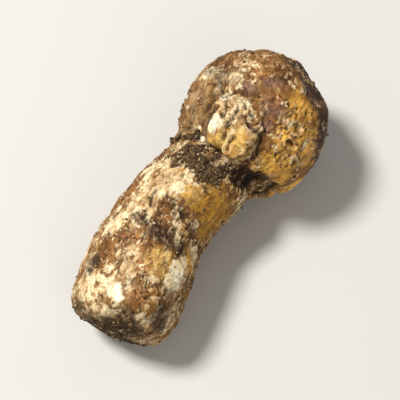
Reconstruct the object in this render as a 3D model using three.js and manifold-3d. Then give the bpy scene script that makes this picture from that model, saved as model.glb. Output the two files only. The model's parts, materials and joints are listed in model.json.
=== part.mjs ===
// A fresh matsutake, picked while its cap was still closed, lying on its side.
// Millimetres, +Z up. The root end points along -X and the top of the cap along +X. The origin is on the
// surface that it rests on, under the middle of its bounding box.
//
// Root end, stem, veil and cap grew as one piece, so they are one solid: an outline turned round a straight
// axis, bent along the line that the mushroom grew on, made uneven, and pressed flat where it rests.
import * as THREE from "three";
import { ImprovedNoise } from "three/addons/math/ImprovedNoise.js";
import { mergeVertices } from "three/addons/utils/BufferGeometryUtils.js";
import Module from "manifold-3d";

// Driving dimensions
const stemLength = 76; // from the root end to the crease under the cap, along the axis
const bellyRadius = 19.9; // the thickest part of the stem
const bellyStation = 22; // how far along the axis that is
const neckRadius = 16.9; // the stem just below the cap
const creaseRadius = 15.4; // the bottom of the crease between the stem and the cap
const creaseWidth = 1.8; // along the axis
const capRadius = 26.8;
const capDepth = 27.5; // how far the underside would reach below the widest part, if it closed on itself
const domeHeight = 24; // from the widest part of the cap to its top
const restDepth = 0.55; // how far the flesh is pressed flat where it rests
const roundedEnd = 8; // within this distance of the axis, unevenness fades out

// The underside of the cap runs into the crease, so the crease says where the widest part of the cap is.
const creaseAngle = Math.acos(creaseRadius / capRadius);
const creaseStation = stemLength + creaseWidth;
const capStation = creaseStation + capDepth * Math.sin(creaseAngle);

// Facets
const sides = 50;
const facetLength = 2.7;

// The line that the mushroom grew on: the stem bows to its +Y side, and the cap sits almost straight.
const spine = new THREE.CatmullRomCurve3([
  new THREE.Vector3(0, 0, bellyRadius - 1),
  new THREE.Vector3(20, 4, bellyRadius),
  new THREE.Vector3(45, 7.6, bellyRadius + 1.6),
  new THREE.Vector3(72, 2.6, bellyRadius + 4.2),
  new THREE.Vector3(capStation - 1.5, -0.6, capRadius),
  new THREE.Vector3(capStation + domeHeight - 2, -3, capRadius + 0.6),
]);

// Where the flesh swells or sinks: how far along the axis, at which angle round it (0 is below, 90 the +Y
// side, 180 on top, 270 the -Y side), how far the swelling spreads, and how high it is.
const swellings = [
  { station: 85, angle: 196, spread: 11, height: 1.8 }, // puffed rim of the cap, on top
  { station: 88, angle: 244, spread: 12, height: 1.3 }, // its other lobe
  { station: 79, angle: 112, spread: 9, height: 2.4 }, // the veil, still joined to the stem on the +Y side
  { station: 78, angle: 152, spread: 7, height: 1.6 }, // the veil's end
  { station: 76, angle: 226, spread: 7, height: -1.8 }, // hollow under the rim
  { station: 103, angle: 135, spread: 13, height: -0.9 }, // flat shoulder of the cap
  { station: 114, angle: 215, spread: 14, height: -0.8 }, // flat stretch near the top of the cap
  { station: 97, angle: 92, spread: 16, height: 0.9 }, // full side of the cap
  { station: 6, angle: 100, spread: 12, height: 1.2 }, // lopsided root end
  { station: 6, angle: 285, spread: 12, height: 1 },
  { station: 34, angle: 262, spread: 13, height: -1 }, // inside of the stem's bend
  { station: 56, angle: 140, spread: 13, height: 0.5 }, // outside of the bend
];

// The unevenness that covers all of it: the size of its lumps and how high they are.
const lumps = [
  { size: 26, height: 1.1 },
  { size: 11, height: 0.5 },
];
const lumpShift = new THREE.Vector3(3.7, 0, 1.3); // where in the noise the lumps are taken from

// The outline: x is the radius and y the distance along the axis.
function outline() {
  const path = new THREE.Path();
  path.moveTo(0, 0);
  path.bezierCurveTo(0.92 * bellyRadius, 0, bellyRadius, 0.2 * bellyStation, bellyRadius, bellyStation);
  path.bezierCurveTo(
    bellyRadius, bellyStation + 16,
    neckRadius, stemLength - 34,
    neckRadius, stemLength,
  );
  path.lineTo(creaseRadius, creaseStation);
  path.absellipse(0, capStation, capRadius, capDepth, -creaseAngle, 0, false);
  path.absellipse(0, capStation, capRadius, domeHeight, 0, Math.PI / 2, false);
  const points = path.curves.flatMap((curve, i) => {
    const steps = Math.max(1, Math.round(curve.getLength() / facetLength));
    return curve.getSpacedPoints(steps).slice(i ? 1 : 0);
  });
  points.at(-1).x = 0;
  return points;
}

const noise = new ImprovedNoise();

// How far the surface stands out or in at a point of the straight body, with its radius and angle there.
function unevenness(point, radius, angle) {
  let height = 0;
  for (const lump of lumps) {
    const sample = point.clone().divideScalar(lump.size).add(lumpShift);
    height += lump.height * noise.noise(sample.x, sample.y, sample.z);
  }
  for (const swelling of swellings) {
    const turn = THREE.MathUtils.euclideanModulo(angle - swelling.angle + 180, 360) - 180;
    const across = THREE.MathUtils.degToRad(turn) * radius;
    const distance = Math.hypot(point.y - swelling.station, across) / swelling.spread;
    height += swelling.height * Math.exp(-2 * distance ** 2);
  }
  return height;
}

// The straight body, bent along the spine.
function grow() {
  const geometry = new THREE.LatheGeometry(outline(), sides);
  const position = geometry.attributes.position;
  const up = new THREE.Vector3(0, 0, 1);
  const point = new THREE.Vector3();
  for (let i = 0; i < position.count; i++) {
    point.fromBufferAttribute(position, i);
    const radius = Math.hypot(point.x, point.z);
    const angle = THREE.MathUtils.radToDeg(Math.atan2(point.x, point.z));
    const stretch = 1 + unevenness(point, radius, angle) / Math.max(radius, roundedEnd);
    const along = THREE.MathUtils.clamp(point.y / (capStation + domeHeight), 0, 1);
    const tangent = spine.getTangentAt(along);
    const side = up.clone().cross(tangent).normalize();
    const top = tangent.clone().cross(side);
    const bent = spine.getPointAt(along)
      .addScaledVector(side, point.x * stretch)
      .addScaledVector(top, -point.z * stretch);
    position.setXYZ(i, bent.x, bent.y, bent.z);
  }
  return geometry;
}

// The lowest point of the stretch between two distances along X.
function lowest(geometry, from, to) {
  const position = geometry.attributes.position;
  const found = new THREE.Vector3(0, 0, Infinity);
  for (let i = 0; i < position.count; i++) {
    const inside = position.getX(i) > from && position.getX(i) < to;
    if (inside && position.getZ(i) < found.z) found.fromBufferAttribute(position, i);
  }
  return found;
}

// Tips the mushroom until cap and stem lie on the surface, and puts the origin under its middle.
function layDown(geometry) {
  for (let pass = 0; pass < 3; pass++) {
    const stem = lowest(geometry, -Infinity, stemLength / 2);
    const cap = lowest(geometry, stemLength, Infinity);
    geometry.rotateY(Math.atan2(cap.z - stem.z, cap.x - stem.x));
  }
  geometry.computeBoundingBox();
  const { min, max } = geometry.boundingBox;
  geometry.translate(-(min.x + max.x) / 2, -(min.y + max.y) / 2, -min.z - restDepth);
  return geometry;
}

const wasm = await Module();
wasm.setup();

function toSolid(geometry) {
  const bare = geometry.clone();
  bare.deleteAttribute("normal");
  bare.deleteAttribute("uv");
  const merged = mergeVertices(bare, 1e-3);
  return new wasm.Manifold(new wasm.Mesh({
    numProp: 3,
    vertProperties: merged.attributes.position.array,
    triVerts: new Uint32Array(merged.index.array),
  }));
}

function toGeometry(solid) {
  const mesh = solid.getMesh();
  const geometry = new THREE.BufferGeometry();
  geometry.setAttribute("position", new THREE.BufferAttribute(mesh.vertProperties, 3));
  geometry.setIndex(new THREE.BufferAttribute(mesh.triVerts, 1));
  geometry.computeVertexNormals();
  return geometry;
}

// Flesh that would be under the surface it rests on is pressed flat.
function pressFlat(geometry) {
  const depth = 20;
  const ground = new THREE.BoxGeometry(400, 400, depth).translate(0, 0, -depth / 2);
  return toGeometry(toSolid(geometry).subtract(toSolid(ground)));
}

const flesh = new THREE.MeshStandardMaterial({ color: "#a58557", roughness: 0.8, metalness: 0 });
const mushroom = new THREE.Mesh(pressFlat(layDown(grow())), flesh);
mushroom.name = "mushroom";

const matsutake = new THREE.Group();
matsutake.add(mushroom);

export default matsutake;
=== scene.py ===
import json
import math
from itertools import product

import bmesh
import bpy
import numpy as np
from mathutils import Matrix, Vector
from mathutils.bvhtree import BVHTree

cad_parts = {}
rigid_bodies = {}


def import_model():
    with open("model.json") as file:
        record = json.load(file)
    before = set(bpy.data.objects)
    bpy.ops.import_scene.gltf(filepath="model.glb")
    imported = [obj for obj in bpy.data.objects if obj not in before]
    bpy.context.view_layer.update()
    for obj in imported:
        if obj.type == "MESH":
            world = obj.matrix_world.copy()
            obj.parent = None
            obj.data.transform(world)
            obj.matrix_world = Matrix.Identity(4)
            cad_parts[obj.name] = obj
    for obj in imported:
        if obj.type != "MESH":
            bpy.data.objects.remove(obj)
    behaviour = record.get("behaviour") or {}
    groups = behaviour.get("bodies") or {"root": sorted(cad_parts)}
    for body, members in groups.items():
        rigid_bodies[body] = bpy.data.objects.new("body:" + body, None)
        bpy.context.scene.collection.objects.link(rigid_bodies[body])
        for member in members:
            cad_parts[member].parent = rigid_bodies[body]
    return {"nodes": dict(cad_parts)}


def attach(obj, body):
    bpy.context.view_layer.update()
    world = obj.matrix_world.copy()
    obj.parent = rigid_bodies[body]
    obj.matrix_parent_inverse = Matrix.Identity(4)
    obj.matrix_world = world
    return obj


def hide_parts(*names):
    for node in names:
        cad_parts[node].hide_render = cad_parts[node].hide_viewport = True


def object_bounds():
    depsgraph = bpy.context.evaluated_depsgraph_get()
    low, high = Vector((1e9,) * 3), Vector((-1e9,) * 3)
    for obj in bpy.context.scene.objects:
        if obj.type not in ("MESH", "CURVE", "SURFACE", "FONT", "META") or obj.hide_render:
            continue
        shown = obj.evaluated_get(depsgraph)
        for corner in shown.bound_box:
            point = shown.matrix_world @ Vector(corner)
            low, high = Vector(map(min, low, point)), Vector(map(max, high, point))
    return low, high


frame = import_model()
cadLow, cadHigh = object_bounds()
mm = 0.001
scene = bpy.context.scene

cameraSetup = {
    "azimuth": -57,  # degrees round the mushroom: the root end is near and the cap far
    "elevation": 68,  # degrees above the table
    "lens": 120,
    "sensor": 36,
    "viewWidth": 150,  # how much of the table fits across the picture
    "aim": (-1, 1, 22),  # from the middle of the mushroom's footprint
}


def directionTo(azimuth, elevation):
    a, e = math.radians(azimuth), math.radians(elevation)
    return Vector((math.sin(a) * math.cos(e), -math.cos(a) * math.cos(e), math.sin(e)))


def makeCamera(setup):
    data = bpy.data.cameras.new("camera")
    data.lens = setup["lens"]
    data.sensor_width = setup["sensor"]
    camera = bpy.data.objects.new("camera", data)
    scene.collection.objects.link(camera)
    back = directionTo(setup["azimuth"], setup["elevation"])
    distance = setup["viewWidth"] * setup["lens"] / setup["sensor"]
    camera.location = (Vector(setup["aim"]) + back * distance) * mm
    camera.rotation_euler = back.to_track_quat("Z", "Y").to_euler()
    scene.camera = camera


makeCamera(cameraSetup)
print("camera made")

# Patterns in space, the same on every run. Each use of one has its own seed, which may be any whole number.
hashFactors = np.array([73856093, 19349663, 83492791], np.uint32)  # large odd numbers scatter the digits
hashRounds = [(np.uint32(15), np.uint32(2246822519)), (np.uint32(13), np.uint32(3266489917))]
noiseGain = 1.7  # brings the noise to about -1 to 1


def smoothStep(low, high, value):
    t = np.clip((value - low) / (high - low), 0, 1)
    return t * t * (3 - 2 * t)


def latticeRandom(lattice, seed):  # three random numbers from 0 to 1 for each whole-number point
    whole = lattice.astype(np.int64).astype(np.uint32)
    mixed = np.bitwise_xor.reduce(whole * hashFactors, axis=1) ^ np.uint32(seed * 2654435 + 97)
    numbers = []
    for _ in range(3):
        for shift, factor in hashRounds:
            mixed = (mixed ^ (mixed >> shift)) * factor
        numbers.append((mixed >> np.uint32(8)) / 2**24)
    return np.stack(numbers, axis=1)


def smoothNoise(points, seed):  # about -1 to 1, with lumps one unit wide
    base = np.floor(points)
    part = points - base
    ease = part**3 * (part * (part * 6 - 15) + 10)
    total = np.zeros(len(points))
    for corner in product((0, 1), repeat=3):
        slope = latticeRandom(base + corner, seed) * 2 - 1
        weight = np.prod(np.where(corner, ease, 1 - ease), axis=1)
        total += weight * np.sum(slope * (part - corner), axis=1)
    return total * noiseGain


def layeredNoise(points, size, layers, seed, fall=0.5):  # each layer is half as coarse and falls in height
    total = 0
    for layer in range(layers):
        total = total + fall**layer * smoothNoise(points * 2**layer / size, seed + layer)
    return total


def noiseVector(points, size, seed):
    return np.stack([smoothNoise(points / size, seed + axis) for axis in range(3)], axis=1)


def ridges(points, size, seed, layers=2):  # 1 on a narrow wandering crest, 0 away from it
    total = 0
    for layer in range(layers):
        total = total + 0.5**layer * (1 - abs(smoothNoise(points * 2**layer / size, seed + layer)) * 2.2)
    return np.clip(total / 1.5, 0, 1)


def cellPattern(points, size, seed):
    # Every point belongs to its nearest seed point. This gives how far off the edge between two of them is,
    # the way to the seed point, and three random numbers that belong to it.
    scaled = points / size
    base = np.floor(scaled)
    count = len(points)
    nearest, second = np.full(count, 9.0), np.full(count, 9.0)  # farther than any seed point
    toSeed, tone = np.zeros((count, 3)), np.zeros((count, 3))
    for corner in product((-1, 0, 1), repeat=3):
        lattice = base + corner
        gap = lattice + latticeRandom(lattice, seed) - scaled
        distance = np.linalg.norm(gap, axis=1)
        closer = distance < nearest
        second = np.where(closer, nearest, np.minimum(second, distance))
        nearest = np.where(closer, distance, nearest)
        toSeed[closer] = gap[closer]
        tone[closer] = latticeRandom(lattice[closer], seed + 50)
    return (second - nearest) * size / 2, toSeed * size, tone


# The body: a fine even mesh over the frame's own surface.
bodyMesh = {
    "voxel": 1.04,  # spacing of the first even mesh; one subdivision halves it
    "smoothing": 8,  # rounds that take the frame's facets away
}


def newObject(name, mesh):
    piece = bpy.data.objects.new(name, mesh)
    scene.collection.objects.link(piece)
    return piece


def newPiece(name, points, faces):
    mesh = bpy.data.meshes.new(name)
    mesh.from_pydata(points * mm, [], faces)
    return newObject(name, mesh)


def evenMesh(node):
    mesh = bpy.data.meshes.new("body")
    bm = bmesh.new()
    bm.from_mesh(node.data)
    bmesh.ops.remove_doubles(bm, verts=bm.verts, dist=0.001 * mm)
    bm.to_mesh(mesh)
    bm.free()
    piece = newObject("mushroom_body", mesh)
    remesh = piece.modifiers.new("even", "REMESH")
    remesh.mode = "VOXEL"
    remesh.voxel_size = bodyMesh["voxel"] * mm
    smooth = piece.modifiers.new("smooth", "SMOOTH")
    smooth.iterations = bodyMesh["smoothing"]
    finer = piece.modifiers.new("finer", "SUBSURF")
    finer.levels = 1
    evaluated = piece.evaluated_get(bpy.context.evaluated_depsgraph_get())
    piece.data = bpy.data.meshes.new_from_object(evaluated)
    piece.modifiers.clear()
    for polygon in piece.data.polygons:
        polygon.use_smooth = True
    return piece


def readRows(things, field, width, kind=np.float32):  # one field of many things, each a row of numbers
    flat = np.empty(len(things) * width, kind)
    things.foreach_get(field, flat)
    return flat.reshape(-1, width)


def readPoints(mesh):
    return readRows(mesh.vertices, "co", 3, float) / mm


def writePoints(mesh, points):
    mesh.vertices.foreach_set("co", (points * mm).astype(np.float32).ravel())
    mesh.update()


def readNormals(mesh):
    return readRows(mesh.vertex_normals, "vector", 3).astype(float)


def turnGap(turn, other):  # degrees from one turn to another, the short way round
    return (turn - other + 180) % 360 - 180


skinSetup = {
    "ringStep": 4,  # rings of points find the axis: how far apart they are
    "ringReach": 3,  # and how far to either side each one gathers points
    "capMiddle": 97,  # where the middle of the round cap is
    "capRadius": 26,
    "domeFrom": (74, 80),  # between these, lengths change to being measured over the dome
    "fibresFrom": (60, 80),  # from here on, fibres don't crowd together towards the crown
    "leastFibres": 8,  # the least radius that they are spaced on
    "leastPlace": 10,  # the least radius that a place's width is measured on
    "usualRadius": 22,  # the radius that a line's turns are measured on
    "wander": ((1.3, 5, 3), (0.5, 1.7, 7)),  # uneven edges: how far they stray, over what length, and a seed
}
capMiddle, capRadius = skinSetup["capMiddle"], skinSetup["capRadius"]


class Skin:  # where each point of the surface is on the mushroom
    def __init__(self, points):
        self.points = points
        self.station = points[:, 0] - cadLow.x / mm  # from the root end, along the length
        steps = np.arange(2, self.station.max(), skinSetup["ringStep"])
        middles = []
        for step in steps:
            ring = points[abs(self.station - step) < skinSetup["ringReach"]]
            middles.append((ring.min(axis=0) + ring.max(axis=0))[1:] / 2)
        middles = np.array(middles)
        centreY = np.interp(self.station, steps, middles[:, 0])
        centreZ = np.interp(self.station, steps, middles[:, 1])
        self.fromAxis = points[:, 1:] - np.stack([centreY, centreZ], axis=1)
        self.radius = np.linalg.norm(self.fromAxis, axis=1)
        # degrees round the axis: 0 below, 90 on the outside of the bend, 180 on top, 270 inside the bend
        self.turn = np.degrees(np.arctan2(self.fromAxis[:, 0], -self.fromAxis[:, 1])) % 360
        # On the cap the skin's fibres run from its crown to its rim, so lengths are measured over the dome.
        overDome = np.pi / 2 - np.arctan2(self.radius, self.station - capMiddle)
        overDome = capMiddle + capRadius * overDome
        onDome = np.interp(self.station, skinSetup["domeFrom"], (0, 1))
        self.along = onDome * (overDome - self.station) + self.station
        fromMiddle = np.column_stack([self.station - capMiddle, self.fromAxis])
        # the way to each point from the cap's middle
        self.capWay = fromMiddle / np.linalg.norm(fromMiddle, axis=1)[:, None]
        self.wander = 0
        for reach, size, seed in skinSetup["wander"]:
            self.wander = self.wander + reach * noiseVector(points, size, seed)

    def grain(self, stretch):  # places in which a pattern comes out longer along the fibres than across them
        turn = np.radians(self.turn)
        least = np.interp(self.station, skinSetup["fibresFrom"], (0, skinSetup["leastFibres"]))
        reach = np.maximum(self.radius, least)
        return np.column_stack([self.along / stretch, reach * np.sin(turn), reach * np.cos(turn)])

    def gapTo(self, station, turn):  # how far along and around from one place, with uneven edges
        reach = np.maximum(self.radius, skinSetup["leastPlace"])
        around = np.radians(turnGap(self.turn, turn)) * reach + self.wander[:, 1]
        return self.station - station + self.wander[:, 0], around

    def spot(self, station, turn, along, around):  # 1 in the middle of an oval, 0 at its edge, less outside
        gapAlong, gapAround = self.gapTo(station, turn)
        return 1 - np.hypot(gapAlong / along, gapAround / around)

    def fromLine(self, line):  # how far from a line through (station, turn) places
        nearest = np.full(len(self.station), 1e3)
        for (stationA, turnA), (stationB, turnB) in zip(line, line[1:]):
            gapAlong, gapAround = self.gapTo(stationA, turnA)
            along, around = stationB - stationA, math.radians(turnB - turnA) * skinSetup["usualRadius"]
            part = np.clip((gapAlong * along + gapAround * around) / (along**2 + around**2), 0, 1)
            nearest = np.minimum(nearest, np.hypot(gapAlong - part * along, gapAround - part * around))
        return nearest


body = evenMesh(frame["nodes"]["mushroom"])
skin = Skin(readPoints(body.data))

layout = {
    # The skin laid flat in a map of its own: its side as one sheet, and above that its two ends as discs.
    "margin": 0.006,  # this and the next two are shares of the whole layout
    "sheet": (0.955, 0.74),
    "disc": 0.112,
    "discMiddles": (0.25, 0.75),  # how far across the root end's disc is, and the crown's
    "rootReach": 30,  # the root end is nearer to the end than this
    "endSlope": 0.8,  # the skin counts as an end where it faces along the length more than this
    "endReach": 22,  # from the middle of an end to its edge
}


def layFlat(mesh):
    corners = readRows(mesh.loops, "vertex_index", 1, np.int64)
    corners = corners.reshape(-1, 4)  # every face of an even mesh has four
    facing = readRows(mesh.polygons, "normal", 3)[:, 0]
    turn = skin.turn[corners]
    acrossSeam = turn.max(axis=1) - turn.min(axis=1) > 180
    turn += 360 * (acrossSeam[:, None] & (turn < 180))
    width, height = layout["sheet"]
    margin, disc = layout["margin"], layout["disc"]
    flat = np.stack([turn / 360 * width, skin.along[corners] / skin.along.max() * height], axis=2) + margin
    ends = ((-1, skin.station < layout["rootReach"]), (1, skin.station > capMiddle))
    for (sign, near), middle in zip(ends, layout["discMiddles"]):
        onEnd = (facing * sign > layout["endSlope"]) & near[corners[:, 0]]
        offset = skin.fromAxis[corners[onEnd]] * disc / layout["endReach"]
        flat[onEnd] = offset + (middle, height + 3 * margin + disc)
    flatMap = mesh.uv_layers.new(name="OFBake")
    flatMap.data.foreach_set("uv", flat.astype(np.float32).ravel())


layFlat(body.data)
print("body:", len(body.data.vertices), "points", len(body.data.polygons), "faces")

# Every place is (station, turn, reach along, reach around): how far it is from the root end, degrees round
# the axis, and the oval's half sizes. The side that lies down has its own, so that it's whole too.
places = {
    "purple": [
        (97, 173, 3.5, 7.5), (103, 185, 4.2, 9), (95, 198, 6.3, 6.3), (88.5, 203, 5.2, 4.2),
        (101, 60, 9, 12), (95, 322, 7, 9),
    ],
    "dark": [(100, 20, 6, 12)],
    "lobes": [(88, 172, 8, 10), (82, 162, 4, 5), (82, 192, 4, 5), (84, 45, 7, 11), (86, 330, 6, 8)],
    "yellow": [(78.5, 178, 6, 11), (28, 207, 8, 5), (84, 55, 5, 8)],
    "ochre": [
        (102, 216, 9.5, 9.5), (92, 227, 13, 12), (84, 238, 8, 11), (95, 251, 10, 10), (36, 240, 7, 5),
        (56, 192, 4, 5), (88, 300, 10, 12), (90, 10, 9, 11), (30, 40, 8, 7),
    ],
    "grey": [
        (97, 151, 5, 8), (93, 147, 4, 5), (99, 126, 5, 8), (12, 126, 9, 5), (88, 85, 9, 12), (96, 345, 8, 9),
    ],
    "tan": [(87, 130, 9, 10), (83, 118, 7, 9), (84, 150, 8, 4), (80, 10, 6, 14)],
    "sooty": [
        (38, 165, 5, 8), (38, 182, 6, 8), (37, 200, 7, 9), (37, 218, 7, 7), (46, 226, 7, 5),
        (47, 202, 4, 5), (42, 20, 8, 8), (22, 330, 7, 7), (16, 134, 4, 4),
    ],
    "orange": [
        (22, 193, 6, 4), (15, 205, 6, 4), (30, 168, 5, 7), (106, 173, 5, 6), (100, 195, 4, 5),
        (91, 208, 4, 4), (76.5, 166, 2.5, 4), (47, 128, 8, 6), (20, 60, 8, 8), (50, 330, 9, 6),
    ],
    "smooth": [
        (59, 216, 9.5, 10.5), (58, 240, 9.5, 12.5), (50, 240, 8, 7), (62, 30, 8, 12), (56, 310, 9, 9),
    ],
    "pale": [
        (8, 150, 7, 8), (35, 142, 7, 5), (53, 155, 13, 9), (24, 178, 6, 5), (29, 233, 10, 6),
        (95, 221, 3.5, 4), (106, 158, 4, 7), (89, 170, 4.5, 6), (75, 155, 3, 3), (36, 70, 8, 8),
        (58, 90, 6, 8),
    ],
    # where the flesh shows white; the spot at (83, 165) is a painted highlight on the upper left of the
    # cap's largest lobe
    "bare": [
        (10, 179, 3, 3.2), (28, 231, 5, 5), (83, 165, 2.2, 2.5), (90, 161, 1.8, 2.5), (75.5, 156, 3, 3),
        (40, 78, 4, 4),
    ],
    "crust": [
        (69, 166, 9, 12), (66, 186, 8, 11), (75, 148, 6, 9), (71, 205, 5, 9), (73, 100, 3, 9),
        (72, 340, 5, 14),
    ],
    "root": [(-1, 195, 8, 16), (3, 219, 11, 14), (12, 238, 9, 8), (-1, 60, 9, 30), (1, 330, 9, 22)],
    # the hollow under the cap's rim: sunk into the skin, and painted dark as its shadow
    "hollow": [(72, 218, 4.5, 7), (73, 231, 5.5, 8), (75, 248, 4.5, 8)],
}
plates = [  # whole pieces of skin or flesh with a clean edge
    (10, 179, 3.4, 3.6), (34, 143, 5.5, 4), (19, 178, 3, 3), (28, 231, 4.6, 4.8), (46, 150, 4, 3),
    (50, 168, 4, 3), (60, 156, 4, 3), (80.5, 166, 5, 5), (83, 193, 2.5, 3), (75.5, 156, 3, 3),
    (86, 133, 6, 6), (40, 78, 5, 5), (22, 100, 5, 4), (54, 60, 5, 4), (32, 330, 6, 4), (14, 300, 4, 4),
    (86, 45, 5, 6), (90, 330, 5, 5), (44, 300, 5, 3),
]
edges = {
    "ragged": 0.4,  # how far edges stray, as a share of a place's half size
    "raggedSize": 6,
    "fade": 0.3,  # how far in from its edge a place fades out, as a share of its half size
    "plateFade": 0.15,
    "fades": {  # places that fade out more slowly
        "crust": 0.9, "root": 0.9, "hollow": 0.9, "sooty": 0.9, "grey": 0.9, "purple": 0.9, "ochre": 0.65,
        "smooth": 0.5,
    },
}
crownAndShadedSide = {  # the top of the cap is darkest: it is the oldest skin, and the first that pushed through the soil. It is set on the cap's side away from the key light, so its dark is partly painted shade.
    "towards": (0.8, -0.5, -0.33),  # the way to it from the middle of the cap
    "reach": 73,  # degrees from there to where it has faded out
    "fade": 10,
    "ragged": 17,
}


def maskOf(spots, ragged, fade):  # 1 in the places, 0 outside them
    nearest = np.max([skin.spot(*spot) for spot in spots], axis=0)
    return smoothStep(0, fade, nearest + ragged)


def findCrown():  # degrees from the middle of the crown
    way = np.array(crownAndShadedSide["towards"]) / np.linalg.norm(crownAndShadedSide["towards"])
    away = np.degrees(np.arccos(np.clip(skin.capWay @ way, -1, 1)))
    return away + crownAndShadedSide["ragged"] * raggedEdge


raggedEdge = edges["ragged"] * layeredNoise(skin.grain(1.4), edges["raggedSize"], 4, seed=11, fall=0.6)
fromCrown = findCrown()
masks = {
    name: maskOf(spots, raggedEdge, edges["fades"].get(name, edges["fade"]))
    for name, spots in places.items()
}
onDome = skin.station > capMiddle - capRadius
# the dark crown: partly the cap's own dark skin, partly painted shade on the cap's side away from the light
masks["crownAndShadedSide"] = smoothStep(0, crownAndShadedSide["fade"], crownAndShadedSide["reach"] - fromCrown) * onDome
masks["ochre"] *= 1 - masks["crownAndShadedSide"]
masks["crust"] *= 1 - masks["bare"]
masks["plate"] = maskOf(plates, edges["ragged"] * raggedEdge, edges["plateFade"])

neck = {"station": 76, "reach": 7, "turnStep": 15}  # where the crease is looked for, and at how many turns
rim = {  # the rim of the cap: inside it is the veil, which still closes the cap against the stem
    "turns": [0, 60, 120, 184, 226, 266, 300],
    "veilWidth": [7, 5, 2.5, 1.5, 2.5, 6, 7.5],  # at those turns
    "wander": 1.1,
    "wanderSize": 6,
    "height": 1.0,  # how far its roll stands out
    "overhang": 1.9,  # how far it leans over the veil and the stem
}


def findCrease():  # how far past the crease a point is: below 0 on the stem, above 0 on the cap
    turns = np.arange(0, 360, neck["turnStep"])
    near = abs(skin.station - neck["station"]) < neck["reach"]
    stations = []
    for turn in turns:
        ring = near & (abs(turnGap(skin.turn, turn)) < neck["turnStep"] / 2)
        stations.append(skin.station[ring][np.argmin(skin.radius[ring])])
    return skin.station - np.interp(skin.turn, turns, stations, period=360)


pastCrease = findCrease()
onCap = smoothStep(0, 3, pastCrease)
pastRim = pastCrease - np.interp(skin.turn, rim["turns"], rim["veilWidth"], period=360)
pastRim -= rim["wander"] * smoothNoise(skin.points / rim["wanderSize"], 31)
# the veil under the cap's rim: its own brown, painted darker as painted shade under the overhanging rim
masks["veil"] = onCap * (1 - smoothStep(-0.6, 0.7, pastRim))
print("places found on the skin")

# Lobes of the cap where it grew in folds: (station, turn, half length, half width, height).
folds = [
    (80.5, 166, 5.5, 5.5, 2.5), (81, 191, 5.5, 6.5, 2.4), (85, 183, 4.5, 4.5, 2.1), (80, 178, 5, 10, 1.3),
    (88.5, 170, 4, 5, 1.9), (84, 150, 9, 4, 1.7), (87, 129, 7, 7, 1.4), (83, 198, 4.5, 4, 0.8),
    (99, 154, 5, 7, 0.7), (97, 138, 4, 6, 0.9), (90, 188, 5, 3, 0.7), (86, 216, 6, 5, 0.8),
    (84, 100, 6, 8, 1.3), (82, 40, 6, 10, 1.8), (88, 62, 5, 5, 1.1), (84, 330, 7, 9, 1.5),
    (92, 300, 7, 8, 0.9), (96, 10, 5, 8, 0.8),
]
rolls = {  # soft folds that stand up in lines, where the cap grew round a stone or a root
    "lines": [
        [(91, 150), (86, 147), (82, 142), (78, 140)],
        [(88, 161), (85, 158), (82, 153), (78, 151), (75, 158)],
        [(87, 196), (84, 199), (82, 206)],
        [(89.5, 165), (92.3, 172), (92.5, 180), (90, 185)],
        [(92, 64), (86, 56), (80, 52)],
        [(90, 78), (84, 72), (79, 74)],
        [(93, 345), (87, 340), (81, 343)],
        [(102, 120), (97, 112), (92, 115)],
    ],
    "width": 1.2,
    "height": 0.8,
}
curls = {  # torn rings round a dark hole
    "places": [  # (station, turn, radius)
        (95, 221, 2.5), (90, 228, 1.8), (99, 206, 1.5), (87, 243, 1.6), (92, 70, 2.3), (98, 330, 2.0),
        (96, 90, 1.5), (80, 188, 1.3), (82.5, 177, 1.2), (85, 196, 1.2),
    ],
    "shape": (1.5, 0.8),  # half length and half width, as shares of the radius
    "ringWidth": 0.28,
    "holeWidth": 0.48,
    "height": 0.8,
    "depth": 1.4,
}
cracks = [
    [(86.5, 188), (85, 194), (84.5, 200), (83, 206), (81, 212)],
    [(85, 159), (81, 157), (77, 154), (74, 158)],
    [(92, 165), (89, 163), (86, 166)],
    [(84, 172), (82, 175), (80, 179)],
    [(50, 166), (46, 165), (43, 168)],
    [(84, 50), (80, 56), (78, 64)],
]
relief = {
    "scaleSize": 5.8,  # scales of the skin, each a shingle with a torn tip
    "scaleHeight": 0.8,
    "scrapSize": 2.6,  # smaller scraps between and on them
    "scrapHeight": 0.3,
    "fibreSize": 1.2,
    "fibreHeight": 0.1,
    "wrinkleSize": 3.2,
    "wrinkleHeight": 0.45,  # on the lobes and the ochre skin
    "pitSpacing": 4.2,
    "pitRadius": (0.3, 0.7),  # the smallest, and how much the largest adds
    "pitDepth": 0.75,
    "rippleSize": 2.8,  # growth lines that follow the edge of each fold
    "rippleHeight": 0.28,
    "furrowSize": 8,
    "furrowDepth": 1.2,
    "crackWidth": 0.65,
    "crackDepth": 1.2,
    "hollowDepth": 2.4,
    "veilDepth": 0.7,
    "plateHeight": 0.45,
    "clodSize": 1.9,  # clods in the soil crust
    "clodHeight": 0.85,
    "lumpSize": 15,  # broad unevenness
    "settled": (0.2, 2.2),  # this near to the table the patches that it lies on stay flat
}
skinLeft = {  # the share of the skin that is left: the rest has torn away and shows the flesh
    "stem": 0.46,
    "cap": 0.2,  # how much more is left there than on the stem
    "crownAndShadedSide": 0.3,  # and how much more again, where the next says
    "crownFade": (95, 45),  # degrees from the crown
    "ragged": (0.2, 0.3),  # how much the share changes from one large patch to the next, and from small ones
    "places": {
        "purple": 0.97, "dark": 0.97, "lobes": 0.2, "yellow": 0.5, "ochre": 0.84, "grey": 0.6, "tan": 0.93,
        "veil": 0.8, "sooty": 0.96, "orange": 0.75, "smooth": 0.95, "pale": 0.1, "bare": 0, "hollow": 0.9,
    },
}


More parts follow.
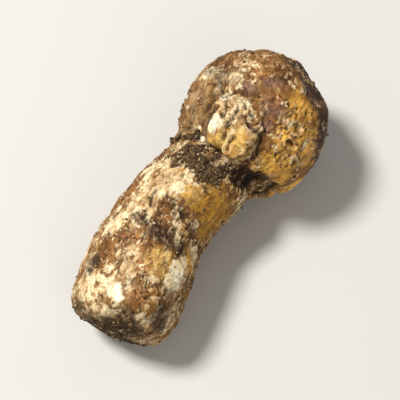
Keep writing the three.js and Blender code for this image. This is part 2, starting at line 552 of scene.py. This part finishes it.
def findCover(whole):
    nearCrown = smoothStep(*skinLeft["crownFade"], fromCrown)
    cover = skinLeft["stem"] + onCap * (skinLeft["cap"] + skinLeft["crownAndShadedSide"] * nearCrown)
    for name, amount in skinLeft["places"].items():
        cover = cover * (1 - masks[name]) + amount * masks[name]
    large, small = skinLeft["ragged"]
    torn = large * layeredNoise(skin.grain(1.6), 9, 2, seed=17)
    torn += small * layeredNoise(skin.grain(1.7), 2.4, 3, seed=19)
    return cover + torn * (1 - 0.85 * whole)


def shingles(size, stretch, amount, seed):
    # Overlapping scales: where they are left, how high, how far from root to tip, and a random number each.
    warped = skin.grain(stretch) + size * 0.45 * noiseVector(skin.grain(1.2), size, seed)
    warped += 0.16 * size * noiseVector(skin.points, size / 3.2, seed + 5)
    edge, toSeed, tone = cellPattern(warped, size, seed + 9)
    left = smoothStep(-0.05, 0.05, amount - tone[:, 0])
    along = np.clip(0.5 - tipWay * toSeed[:, 0] / size, 0, 1)
    rise = smoothStep(0, 0.22, edge) * (0.25 + 0.75 * along) * (0.6 + 0.6 * tone[:, 1])
    return left, rise, along, tone[:, 2]


def makePits():  # 1 in small holes, which are common on the ochre skin and the lobes of the cap
    warped = skin.points + 0.8 * noiseVector(skin.points, 2, 81)
    _, toPit, tone = cellPattern(warped, relief["pitSpacing"], 85)
    smallest, more = relief["pitRadius"]
    chosen = tone[:, 0] < 0.12 + 0.45 * np.maximum(masks["ochre"], masks["lobes"]) * onCap
    away = np.linalg.norm(toPit, axis=1) / (smallest + more * tone[:, 1])
    return chosen * (1 - smoothStep(0.5, 1.1, away))


def makeCurls():  # 1 on the torn rings, and 1 in the holes inside them
    rise, hole = np.zeros(len(skin.station)), np.zeros(len(skin.station))
    for station, turn, radius in curls["places"]:
        gapAlong, gapAround = skin.gapTo(station, turn)
        slant = math.radians(turn * 2)  # each lies its own way
        length = gapAlong * math.cos(slant) + gapAround * math.sin(slant)
        width = gapAround * math.cos(slant) - gapAlong * math.sin(slant)
        away = np.hypot(length / curls["shape"][0], width / curls["shape"][1]) / radius
        away += 0.3 * smoothNoise(skin.points / 1.6, 161)
        rise += np.exp(-(((away - 1) / curls["ringWidth"]) ** 2))
        hole += np.exp(-((away / curls["holeWidth"]) ** 2))
    return rise, hole


def makeFolds():  # how high they are, where growth lines show, and how far in from the edge a point is
    inside = np.array([skin.spot(*oval) for *oval, height in folds])
    domes = np.array([height for *_, height in folds])[:, None] * np.sqrt(np.clip(2 * inside, 0, 1))
    highest = np.argmax(domes, axis=0)
    inside = inside[highest, np.arange(len(highest))]
    inward = inside * np.array([min(along, around) for _, _, along, around, _ in folds])[highest]
    inward += 0.7 * smoothNoise(skin.points / 3, 131)
    height = domes.max(axis=0)
    rippled = smoothStep(0, 0.12, inside) * (1 - smoothStep(0.35, 0.6, inside))
    rippled *= smoothStep(0.9, 1.4, height) * smoothStep(-0.5, 0.2, smoothNoise(skin.points / 5, 135))
    return height, rippled, inward


def makeRolls():
    rolled = np.zeros(len(skin.station))
    for line in rolls["lines"]:
        away = (skin.fromLine(line) + 0.5 * smoothNoise(skin.points / 2.5, 141)) / rolls["width"]
        rolled += np.exp(-(away**2)) - 0.5 * np.exp(-((away - 2) ** 2))
    return rolled


def makeCracks():  # 1 along the cracks
    away = np.min([skin.fromLine(line) for line in cracks], axis=0)
    away += 0.4 * smoothNoise(skin.points / 1.8, 95)
    return np.exp(-((away / relief["crackWidth"]) ** 2))


def makeFurrows():
    warped = skin.grain(2.2 - onCap) + 2.4 * noiseVector(skin.points, 6.5, 111)
    furrows = ridges(warped, relief["furrowSize"], 115, layers=1)
    furrows *= smoothStep(-0.3, 0.4, smoothNoise(skin.points / 9, 119)) * (0.5 + 0.5 * onCap)
    return furrows * (1 - 0.85 * np.maximum(masks["smooth"], masks["purple"])) * (1 - soil)


def largest(*names):
    return np.maximum.reduce([masks[name] for name in names])


tipWay = 1 - 2 * onCap  # tips point at the cap on the stem, and at the rim on the cap
whole = np.maximum(largest("smooth", "purple", "dark", "tan", "plate"), 0.8 * smoothStep(60, 30, fromCrown))
sleek = np.maximum(largest("smooth", "tan", "plate"), 0.9 * largest("purple", "lobes"))
sleek = np.maximum(sleek, onCap * 0.6)
cover = findCover(whole)
scaleLeft, scaleRise, scaleAlong, scaleTone = shingles(relief["scaleSize"], 1.7, cover, 41)
scrapLeft, scrapRise, _, scrapTone = shingles(relief["scrapSize"], 1.4, cover * 0.85, 71)
pits = makePits()
curlRise, curlHole = makeCurls()
foldHeight, rippled, inward = makeFolds()
cracked = makeCracks()
soil = np.maximum(masks["crust"], 0.35 * masks["root"])
furrows = makeFurrows()


def broadShape():
    lumps = layeredNoise(skin.points, relief["lumpSize"], 2, seed=121)
    height = (0.5 + 0.4 * onCap + 0.5 * masks["crownAndShadedSide"]) * lumps
    height += foldHeight * 1.3
    height += rim["height"] * smoothStep(-0.3, 1.2, pastRim) * (1 - smoothStep(4, 12, pastRim)) * onCap
    return height - relief["veilDepth"] * masks["veil"] - relief["hollowDepth"] * masks["hollow"]


def fineShape():
    height = relief["scaleHeight"] * scaleLeft * scaleRise * (1 - 0.8 * sleek)
    height += relief["scrapHeight"] * scrapLeft * scrapRise * (1 - 0.7 * sleek)
    fibres = layeredNoise(skin.grain(5), relief["fibreSize"], 2, seed=61)
    height += relief["fibreHeight"] * fibres * (1 - 0.5 * sleek)
    height += rolls["height"] * makeRolls() + curls["height"] * curlRise
    warped = skin.grain(1.2) + 1.3 * noiseVector(skin.points, 4, 101)
    wrinkled = 0.1 + relief["wrinkleHeight"] * (masks["lobes"] + masks["ochre"] * onCap)
    height += wrinkled * (ridges(warped, relief["wrinkleSize"], 105) - 0.5)
    height += relief["rippleHeight"] * rippled * np.cos(2 * np.pi * inward / relief["rippleSize"])
    height -= relief["pitDepth"] * pits + curls["depth"] * curlHole
    height -= relief["furrowDepth"] * furrows**4 + relief["crackDepth"] * cracked
    height *= (1 - 0.85 * soil) * (1 - 0.75 * masks["plate"])
    clods = 0.4 + layeredNoise(skin.points, relief["clodSize"], 3, seed=91, fall=0.6)
    return height + relief["clodHeight"] * clods * soil + relief["plateHeight"] * masks["plate"]


def grow(height, towardsRoot=0):  # moves the body's points out, and towards the root end
    settled = smoothStep(*relief["settled"], skin.points[:, 2])
    points = readPoints(body.data) + readNormals(body.data) * (height * settled)[:, None]
    points[:, 0] -= towardsRoot * settled
    points[:, 2] = np.maximum(points[:, 2], 0)
    writePoints(body.data, points)
    return points


overhang = rim["overhang"] * smoothStep(-1, 0.4, pastRim) * (1 - smoothStep(1, 7, pastRim)) * onCap
grow(broadShape(), overhang)
grown = grow(fineShape())


def averageNear(mesh, values, rounds):  # values spread to their neighbours on the mesh
    a, b = readRows(mesh.edges, "vertices", 2, np.int64).T
    count = np.bincount(a, minlength=len(values)) + np.bincount(b, minlength=len(values))
    for _ in range(rounds):
        columns = []
        for column in values.T:
            total = np.bincount(a, column[b], len(values)) + np.bincount(b, column[a], len(values))
            columns.append((column + total) / (count + 1))
        values = np.stack(columns, axis=1)
    return values


def findShadeAndWear():  # painted shade: narrow low places are painted darker, and handling has rubbed the brown off the crests
    below = np.sum((averageNear(body.data, grown, 5) - grown) * readNormals(body.data), axis=1)
    sunk = smoothStep(0.05, 0.24, below)
    worn = smoothStep(0.07, 0.26, -below) * (1 - 0.85 * whole) * (1 - 0.35 * onCap)
    worn = np.maximum(worn, np.minimum(curlRise, 1))
    onPlate = 1 - 0.7 * masks["plate"]
    return sunk * onPlate, worn * onPlate


def findSkin():  # where the skin is left, which on a plate is nearly all or nothing
    onPlate = 0.85 * largest("yellow", "ochre", "tan", "crownAndShadedSide", "purple")
    kept = np.maximum(scaleLeft, scrapLeft * 0.85)
    return kept * (1 - masks["plate"]) + onPlate * masks["plate"]


masks["sunk"], masks["worn"] = findShadeAndWear()
masks["kept"] = findSkin()
masks["whole"] = whole
masks["tip"] = scaleLeft * smoothStep(0.6, 0.95, scaleAlong) * (1 - 0.8 * whole)
masks["tone"] = scaleTone * scaleLeft + scrapTone * (1 - scaleLeft)
soilScatter = layeredNoise(skin.points, 2.6, 4, seed=151, fall=0.75)
masks["soil"] = smoothStep(-0.12, 0.12, 1.5 * soil - 0.7 + 0.6 * soilScatter)
holes = np.maximum(pits, 0.9 * smoothStep(0.78, 0.93, furrows))
# holes, cracks and the middles of the curls, which the colours paint dark as painted shade
masks["pit"] = np.maximum.reduce([holes, cracked, np.minimum(curlHole, 1)])
# growth lines: 1 in the troughs of the ripples, which the colours paint dark as painted shade
masks["ring"] = rippled * (0.5 - 0.5 * np.cos(2 * np.pi * inward / relief["rippleSize"]))
masks["damp"] = masks.pop("crust")


def store(mesh, fields):  # masks, or the places in which patterns run with the fibres
    for name, values in fields.items():
        kind, field = ("FLOAT", "value") if values.ndim == 1 else ("FLOAT_VECTOR", "vector")
        attribute = mesh.attributes.new(name, kind, "POINT")
        attribute.data.foreach_set(field, values.astype(np.float32).ravel())


stored = {**masks, "grain": skin.grain(3.3)}
store(body.data, stored)
print("skin shaped")

looseScales = {  # torn scales that stand off the skin
    "count": 380,
    "spacing": 1.9,  # the least distance between two
    "length": (1.8, 4.8),
    "lengthFall": 1.8,  # the more, the fewer are long
    "narrowness": (0.45, 1.0),  # width as a share of length
    "thickness": (0.18, 0.38),
    "lift": (0.03, 0.45),  # how far the tip stands off
    "liftFall": 1.6,
    "lean": 0.5,  # how far they stray from the way of the fibres
    "clearance": 0.3,  # least height above the table
    "steps": 7,  # mesh steps from root to tip
    "across": 6,
    "seed": 23,
}
surface = BVHTree.FromPolygons([Vector(p) for p in grown], [list(p.vertices) for p in body.data.polygons])
cornerOf = [p.vertices[0] for p in body.data.polygons]
skinNormals = readNormals(body.data)


def onSurface(point):  # the nearest place on the skin, the way out of it, and the body's vertex there
    place, way, face, _ = surface.find_nearest(Vector(point))
    return np.array(place), np.array(way), cornerOf[face]


def scatterPlaces(density, count, spacing, draw):  # indices of body vertices, none nearer than spacing
    chosen = []
    for index in draw.choice(len(density), count * 6, p=density / density.sum()):
        if len(chosen) == count:
            break
        if chosen and np.min(np.linalg.norm(grown[chosen] - grown[index], axis=1)) < spacing:
            continue
        chosen.append(index)
    return chosen


def addFlap(points, faces, root, way, size, draw):
    # A thin flap, broad where it is still joined to the skin, that follows it and lifts to a ragged tip.
    length, width, thickness, lift = size
    side = np.cross(skinNormals[root], way)
    steps, across = looseScales["steps"], looseScales["across"]
    ragged = draw.uniform(0.55, 1.2, across)
    bow = draw.uniform(-0.5, 0.5)
    upper, lower, sources, alongs = [], [], [], []
    for step in range(steps):
        part = step / (steps - 1)
        halfWidth = width / 2 * (1 - 0.5 * part**2) * draw.uniform(0.8, 1.2)
        for place in range(across):
            sideways = place / (across - 1) * 2 - 1
            reach = length * part * (1 + (ragged[place] - 1) * part)
            aim = grown[root] + way * reach + side * (halfWidth * sideways + bow * width * part**2)
            base, out, vertex = onSurface(aim)
            rise = lift * part**1.6 * (1 - 0.3 * sideways**2) - 0.4 * (1 - part) ** 2
            upper.append(base + out * (rise + thickness * (1 - 0.6 * part)))
            lower.append(base + out * (rise - 0.08))
            sources.append(vertex)
            alongs.append(part)
    first = len(points)
    points += upper + lower
    under = first + steps * across
    for step in range(steps - 1):
        for place in range(across - 1):
            a = step * across + place
            faces.append([first + n for n in (a, a + 1, a + across + 1, a + across)])
            faces.append([under + n for n in (a, a + across, a + across + 1, a + 1)])
    edge = list(range(across)) + [n * across + across - 1 for n in range(1, steps)]
    edge += [steps * across - 1 - n for n in range(1, across)]
    edge += [n * across for n in range(steps - 2, 0, -1)]
    for a, b in zip(edge, edge[1:] + edge[:1]):
        faces.append([first + b, first + a, under + a, under + b])
    return sources * 2, alongs * 2


def scaleDensity():  # how thickly the loose scales lie
    density = (0.25 + 0.75 * masks["kept"]) * (1 - 0.7 * onCap * (1 - masks["grey"]))
    density *= (1 - 0.93 * sleek) * (1 - 0.8 * soil)
    return density * (1 - masks["veil"]) * (1 - 0.6 * masks["pale"]) * (grown[:, 2] > 3)


def makeScales(setup):
    draw = np.random.default_rng(setup["seed"])
    shortest, longest = setup["length"]
    flattest, highest = setup["lift"]
    points, faces, sources, alongs = [], [], [], []
    for root in scatterPlaces(scaleDensity(), setup["count"], setup["spacing"], draw):
        length = shortest + draw.random() ** setup["lengthFall"] * (longest - shortest)
        width = length * draw.uniform(*setup["narrowness"])
        thickness = draw.uniform(*setup["thickness"])
        lift = flattest + draw.random() ** setup["liftFall"] * (highest - flattest)
        lean = draw.normal(0, setup["lean"])
        out = skinNormals[root]
        way = np.array([tipWay[root], 0, 0])
        way = way - out * way.dot(out)
        way /= np.linalg.norm(way)
        way = way * math.cos(lean) + np.cross(out, way) * math.sin(lean)
        source, along = addFlap(points, faces, root, way, (length, width, thickness, lift), draw)
        sources += source
        alongs += along
    points = np.array(points)
    points[:, 2] = np.maximum(points[:, 2], setup["clearance"])
    piece = newPiece("loose_scales", points, faces)
    own = {name: values[sources] for name, values in stored.items()}
    own["tip"] = smoothStep(0.3, 1, np.array(alongs))
    for name in ("sunk", "pit", "soil", "worn"):
        own[name] = np.zeros(len(points))
    store(piece.data, own)
    return piece


scales = makeScales(looseScales)
print("scales:", len(scales.data.polygons), "faces")

soilGrains = {  # grains of soil stuck to the neck, the root end and, here and there, the rest
    "count": 1700,
    "radius": (0.22, 0.72),
    "radiusFall": 3,  # the more, the fewer are large
    "roughness": 0.55,
    "sides": (0.5, 1.25),  # how flat and how long they may be
    "sunk": 0.35,  # share of a grain inside the skin
    "strays": 0.0015,  # how thickly they lie where there's no soil
    "clearance": 0.1,
    "seed": 31,
}


def makeGrains(setup):
    draw = np.random.default_rng(setup["seed"])
    density = masks["soil"] * (0.25 + soil) + setup["strays"]
    density *= grown[:, 2] > 1.5
    chosen = draw.choice(len(density), setup["count"], replace=False, p=density / density.sum())
    ball = bmesh.new()
    bmesh.ops.create_icosphere(ball, subdivisions=2, radius=1)
    ballPoints = np.array([v.co for v in ball.verts])
    ballFaces = np.array([[v.index for v in face.verts] for face in ball.faces])
    ball.free()
    small, large = setup["radius"]
    points, faces, shades = [], [], []
    for number, root in enumerate(chosen):
        radius = small + draw.random() ** setup["radiusFall"] * (large - small)
        turned = np.linalg.qr(draw.normal(size=(3, 3)))[0]
        uneven = setup["roughness"] * smoothNoise(ballPoints * 1.2 + number * 7, 171)
        shape = ballPoints * (1 + uneven)[:, None]
        shape = (shape * draw.uniform(*setup["sides"], 3)) @ turned * radius
        middle = grown[root] + skinNormals[root] * radius * (1 - 2 * setup["sunk"])
        faces.append(ballFaces + len(points) * len(ballPoints))
        points.append(shape + middle)
        shades.append(np.full(len(ballPoints), draw.random()))
    points = np.concatenate(points)
    points[:, 2] = np.maximum(points[:, 2], setup["clearance"])
    piece = newPiece("soil_grains", points, np.concatenate(faces).tolist())
    store(piece.data, {"shade": np.concatenate(shades)})
    return piece


grains = makeGrains(soilGrains)
print("grains:", len(grains.data.polygons), "faces")


def fromHex(code):  # an sRGB hex colour as linear light
    channels = [int(code[i : i + 2], 16) / 255 for i in (1, 3, 5)]
    return [c / 12.92 if c <= 0.04045 else ((c + 0.055) / 1.055) ** 2.4 for c in channels] + [1]


def addNode(tree, kind, settings=None, links=None):
    made = tree.nodes.new(kind)
    for name, value in (settings or {}).items():
        if isinstance(name, str) and hasattr(made, name):
            setattr(made, name, value)
        else:
            made.inputs[name].default_value = value
    for name, source in (links or {}).items():
        tree.links.new(source, made.inputs[name])
    return made


fleshFinish = {
    # Wild fungus flesh: firm, dry to the touch and fibrous. It's pale where the skin has torn off, and the
    # skin browns where it is old, rubbed or wet, so the eye sees dull cream broken up by many browns.
    "shader": {"Roughness": 0.74, "IOR": 1.4, "Specular IOR Level": 0.35},  # the IOR of fungus tissue
    "bump": {"Strength": 0.6, "Distance": 0.25 * mm},
    "speckSpacing": 3.2,
    "tints": {  # light and dark of the same tissue
        "flesh": ("#ebd7aa", "#ad7f43"),
        "browned": ("#b37f3c", "#784b1d"),
        "skin": ("#92632c", "#502e10"),
        # the crown's tint: the cap's own dark skin, and painted shade on the side away from the light
        "crownAndShadedSide": ("#6b452a", "#26150c"),
        "ochre": ("#f0b74e", "#b67e2f"),
        "yellow": ("#dfb65c", "#9c6a28"),
        "purple": ("#957058", "#583728"),
        "grey": ("#c4b492", "#615138"),
        "tan": ("#976d38", "#5e411f"),
        "dark": ("#4e321d", "#26140a"),
        "orange": ("#9f6b38", "#65401f"),
        # near white: bare flesh, and the painted highlight on the cap's largest lobe
        "bare": ("#fff3d4", "#e8cc98"),
        "smooth": ("#b9872f", "#775018"),
        "root": ("#2b1d0a", "#523b1b"),
        "damp": ("#82653f", "#4c3619"),
        "soil": ("#5f4628", "#251709"),
        # the veil's tint: its own brown, darkened as painted shade under the overhanging rim
        "veil": ("#66491f", "#2f200b"),
        # near black: dirt in the specks, and painted shade in low places, holes, cracks and the hollow under
        # the rim
        "dirtAndShade": ("#201206", "#201206"),
    },
    "patterns": {
        # Noise: (where it runs, size in mm, detail, roughness, distortion), and after these the levels of it
        # between which the pattern goes from 0 to 1, unless it's the noise itself.
        "mottle": ("space", 3.4, 5, 0.65, 0.9, 0.4, 0.6),  # patches of one tint
        "breakUp": ("space", 1.8, 3, 0.6, 0.8, 0.42, 0.58),  # flecks within them
        "streak": ("fibres", 1.6, 3, 0.6, 0.4, 0.36, 0.64),  # light and dark fibre bundles, two by two
        "fibrils": ("fibres", 2.4, 4, 0.6, 0.3, 0.4, 0.6),  # brown fibrils pressed flat on the crown
        "stain": ("space", 8, 5, 0.65, 0.6, 0.47, 0.56),  # where the bare flesh has browned
        "uncut": ("space", 1.6, 3, 0.65, 0.4, 0.3, 0.37),  # 0 on small tears in the skin
        "smear": ("space", 2.6, 4, 0.65, 1.0, 0.44, 0.54),  # rusty smears
        "rub": ("space", 2, 4, 0.6, 0.4, 0.42, 0.54),  # where handling has caught the crests
        "veinArea": ("space", 6, 4, 0.6, 0.4, 0.46, 0.54),  # where the skin has wrinkled
        "veinNoise": ("space", 3, 3, 0.55, 1.2),  # curls of the dark lines there
        "speckArea": ("space", 5.5, 3, 0.6, 0.4, 0.5, 0.58),  # where dirt has specked the flesh
        "speckNoise": ("space", 0.9, 2, 0.6, 0.4),  # makes the specks uneven
        # fibre bundles, drawn about twice as coarse as they are so that they show
        "bundles": ("fibres", 0.8, 5, 0.65, 0.4),
    },
}
fleshMasks = [  # the masks on the mesh that the colours use
    "tone", "kept", "whole", "crownAndShadedSide", "ochre", "yellow", "grey", "tan", "purple", "sooty", "dark", "ring",
    "veil", "smooth", "orange", "worn", "tip", "bare", "sunk", "pit", "root", "damp", "hollow", "soil",
]
fleshSteps = [  # each new value, and the operation and the values or numbers that it comes from
    ("shadeBreaks", "MULTIPLY", "breakUp", 0.15),
    ("shadePatches", "MULTIPLY_ADD", "mottle", 0.4, "shadeBreaks"),
    ("shade", "MULTIPLY_ADD", "tone", 0.5, "shadePatches"),
    ("fleshShade", "MULTIPLY", "streak", "mottle"),
    ("halfShade", "MULTIPLY", "shade", 0.5),
    ("crownShade", "MULTIPLY_ADD", "fibrils", 0.6, "halfShade"),
    ("streakAndMottle", "ADD", "streak", "mottle"),
    ("smoothShade", "MULTIPLY", "streakAndMottle", 0.5),
    ("rootShade", "MULTIPLY", "streak", "breakUp"),
    ("stainBreaks", "MULTIPLY_ADD", "breakUp", 0.375, 0.375),
    ("stained", "MULTIPLY", "stain", "stainBreaks"),
    ("yellowed", "MULTIPLY", "yellow", 0.7),
    ("shadedTroughs", "MULTIPLY", "ring", 0.6),
    ("untorn", "MAXIMUM", "uncut", "whole"),
    ("covered", "MULTIPLY", "kept", "untorn"),
    ("smeared", "MULTIPLY", "orange", "smear"),
    ("wornTip", "MULTIPLY", "tip", 0.8),
    ("wornMost", "MAXIMUM", "worn", "wornTip"),
    ("rubbed", "MULTIPLY", "wornMost", "rub"),
    ("sootPatches", "MULTIPLY_ADD", "mottle", 0.65, 0.25),
    ("sooted", "MULTIPLY", "sooty", "sootPatches"),
    ("veinSide", "SUBTRACT", "veinNoise", 0.5),
    ("fromVein", "ABSOLUTE", "veinSide"),
    ("vein", "SMOOTHSTEP", "fromVein", 0.08, 0.0),
    ("veinHere", "MULTIPLY", "vein", "veinArea"),
    ("veined", "MULTIPLY", "veinHere", 0.5),
    # painted shade: low places, holes and cracks are painted dark
    ("low", "MAXIMUM", "sunk", "pit"),
    ("paintedLowShade", "MULTIPLY", "low", 0.85),
    ("fromSpeck", "MULTIPLY_ADD", "speckNoise", 0.4, "speckMiddle"),
    ("speck", "SMOOTHSTEP", "fromSpeck", 0.37, 0.29),
    ("speckHere", "MULTIPLY", "speck", "speckArea"),
    ("torn", "SUBTRACT", 1.0, "whole"),
    ("speckTorn", "MULTIPLY", "speckHere", "torn"),
    ("specked", "MULTIPLY", "speckTorn", 0.75),
    ("dampened", "MULTIPLY", "damp", 0.7),
]
fleshLayers = {
    # Tissues over one another: (tint, what takes it from light to dark, how much it covers what's below).
    # One that nothing takes there is all dark.
    "under": [  # where the skin has torn off
        ("flesh", "fleshShade", None),
        ("browned", "streak", "stained"),
        ("yellow", "mottle", "yellowed"),
    ],
    "coat": [  # where it's left
        ("skin", "shade", None),
        ("crownAndShadedSide", "crownShade", "crownAndShadedSide"),
        *[(name, "shade", name) for name in ("ochre", "yellow", "grey", "tan", "purple")],
        ("dark", "shade", "sooty"),
        ("dark", "shade", "dark"),
        # painted shade in the troughs of the growth-line ripples
        ("tan", None, "shadedTroughs"),
        ("veil", "streak", "veil"),
        ("smooth", "smoothShade", "smooth"),
    ],
    "over": [  # on both
        ("orange", "breakUp", "smeared"),
        ("flesh", "streak", "rubbed"),
        ("bare", "streak", "bare"),
        ("dark", "breakUp", "sooted"),
        ("dark", None, "veined"),
        ("dirtAndShade", None, "paintedLowShade"),
        ("dirtAndShade", None, "specked"),
        ("root", "rootShade", "root"),
        ("damp", "breakUp", "dampened"),
        # painted shadow: the hollow under the cap's rim is painted near black
        ("dirtAndShade", None, "hollow"),
        ("soil", "breakUp", "soil"),
    ],
}


def paint(tree, values, group, colour=None):  # lays tissues over a colour, or over one another
    for tint, shade, amount in fleshLayers[group]:
        light, dark = (fromHex(code) for code in fleshFinish["tints"][tint])
        settings, links = {"data_type": "RGBA"}, {}
        if shade:
            tinted = addNode(tree, "ShaderNodeMix", {**settings, 6: light, 7: dark}, {0: values[shade]})
            links[7] = tinted.outputs[2]
        else:
            settings[7] = dark
        if colour is None:
            colour = links[7]
        else:
            links.update({0: values[amount], 6: colour})
            colour = addNode(tree, "ShaderNodeMix", settings, links).outputs[2]
    return colour


def makeValues(tree, finish):  # the masks, the patterns and what comes from them, each by its name
    middle = addNode(tree, "ShaderNodeTexCoord").outputs["Object"]
    space = addNode(tree, "ShaderNodeVectorMath", {"operation": "SCALE", "Scale": 1 / mm}, {0: middle})
    fibres = addNode(tree, "ShaderNodeAttribute", {"attribute_name": "grain"})
    places = {"space": space.outputs[0], "fibres": fibres.outputs["Vector"]}
    values, steps = {}, []
    for name in fleshMasks:
        values[name] = addNode(tree, "ShaderNodeAttribute", {"attribute_name": name}).outputs["Fac"]
    for name, (run, size, detail, rough, distortion, *levels) in finish["patterns"].items():
        settings = {"Scale": 1 / size, "Detail": detail, "Roughness": rough, "Distortion": distortion}
        values[name] = addNode(tree, "ShaderNodeTexNoise", settings, {"Vector": places[run]}).outputs["Fac"]
        if levels:
            steps.append((name, "SMOOTHSTEP", name, *levels))
    settings = {"feature": "F1", "Scale": 1 / finish["speckSpacing"], "Randomness": 1.0}
    specks = addNode(tree, "ShaderNodeTexVoronoi", settings, {"Vector": places["fibres"]})
    values["speckMiddle"] = specks.outputs["Distance"]
    for name, operation, *sources in steps + fleshSteps:
        kind, choice = "ShaderNodeMath", "operation"
        if operation == "SMOOTHSTEP":
            kind, choice = "ShaderNodeMapRange", "interpolation_type"
        settings, links = {choice: operation}, {}
        for index, source in enumerate(sources):
            if isinstance(source, str):
                links[index] = values[source]
            else:
                settings[index] = source
        values[name] = addNode(tree, kind, settings, links).outputs[0]
    return values


def newMaterial(name, settings):  # with its shader set and ready to be linked to
    material = bpy.data.materials.new(name)
    material.use_nodes = True
    inputs = material.node_tree.nodes["Principled BSDF"].inputs
    for slot, value in settings.items():
        inputs[slot].default_value = value
    return material, material.node_tree, inputs


def makeFlesh(finish):
    material, tree, inputs = newMaterial("fungus_flesh", finish["shader"])
    values = makeValues(tree, finish)
    links = {0: values["covered"], 6: paint(tree, values, "under"), 7: paint(tree, values, "coat")}
    skinned = addNode(tree, "ShaderNodeMix", {"data_type": "RGBA"}, links)
    colour = paint(tree, values, "over", skinned.outputs[2])
    bump = addNode(tree, "ShaderNodeBump", finish["bump"], {"Height": values["bundles"]})
    tree.links.new(colour, inputs["Base Color"])
    tree.links.new(bump.outputs[0], inputs["Normal"])
    return material


def dress(piece, material):
    piece.data.materials.clear()
    piece.data.materials.append(material)


flesh = makeFlesh(fleshFinish)
dress(body, flesh)
dress(scales, flesh)

soilFinish = {
    # Forest soil: crumbs of dark humus with a few paler grains of weathered granite, all dull and dry.
    "humus": ("#271808", "#6d5230"),
    "granite": "#d8c498",
    "humusShare": 0.9,  # how many of the grains are humus
    "shader": {"Roughness": 0.95},
}


def makeSoil(finish):
    material, tree, inputs = newMaterial("forest_soil", finish["shader"])
    shade = addNode(tree, "ShaderNodeAttribute", {"attribute_name": "shade"}).outputs["Fac"]
    ramp = addNode(tree, "ShaderNodeValToRGB", links={"Fac": shade})
    colours = ramp.color_ramp.elements
    colours[0].color = fromHex(finish["humus"][0])
    colours[1].color = fromHex(finish["granite"])
    colours.new(finish["humusShare"]).color = fromHex(finish["humus"][1])
    tree.links.new(ramp.outputs["Color"], inputs["Base Color"])
    return material


dress(grains, makeSoil(soilFinish))
print("flesh and soil coloured")

studio = {
    "table": {"colour": "#c4c1bb", "reach": 4000, "shader": {"Roughness": 0.9, "Specular IOR Level": 0.2}},
    "key": {"azimuth": -168, "elevation": 60, "distance": 1600, "size": 380, "watts": 34},
    "fill": {"azimuth": -30, "elevation": 40, "distance": 1200, "size": 900, "watts": 2.5},
    "sky": {"colour": "#f4f3f0", "strength": 0.4},
}


def makeTable(setup):
    corners = np.array([(-1, -1, 0), (1, -1, 0), (1, 1, 0), (-1, 1, 0)]) * setup["reach"]
    table = newPiece("table", corners, [(0, 1, 2, 3)])
    # Matt laminate, pressed smooth on board: plain, pale and dull.
    settings = {"Base Color": fromHex(setup["colour"]), **setup["shader"]}
    dress(table, newMaterial("matt_laminate", settings)[0])


def makeLight(name, setup):
    data = bpy.data.lights.new(name, "AREA")
    data.shape = "DISK"
    data.size = setup["size"] * mm
    data.energy = setup["watts"]
    light = bpy.data.objects.new(name, data)
    scene.collection.objects.link(light)
    way = directionTo(setup["azimuth"], setup["elevation"])
    light.location = way * setup["distance"] * mm
    light.rotation_euler = way.to_track_quat("Z", "Y").to_euler()


def makeSky(setup):
    world = bpy.data.worlds.new("studio")
    world.use_nodes = True
    background = world.node_tree.nodes["Background"]
    background.inputs["Color"].default_value = fromHex(setup["colour"])
    background.inputs["Strength"].default_value = setup["strength"]
    scene.world = world


makeTable(studio["table"])
for lamp in ("key", "fill"):
    makeLight(lamp, studio[lamp])
makeSky(studio["sky"])
scene.view_settings.view_transform = "Standard"
print("table and lights made")

for piece in (body, scales, grains):
    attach(piece, "root")
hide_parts("mushroom")
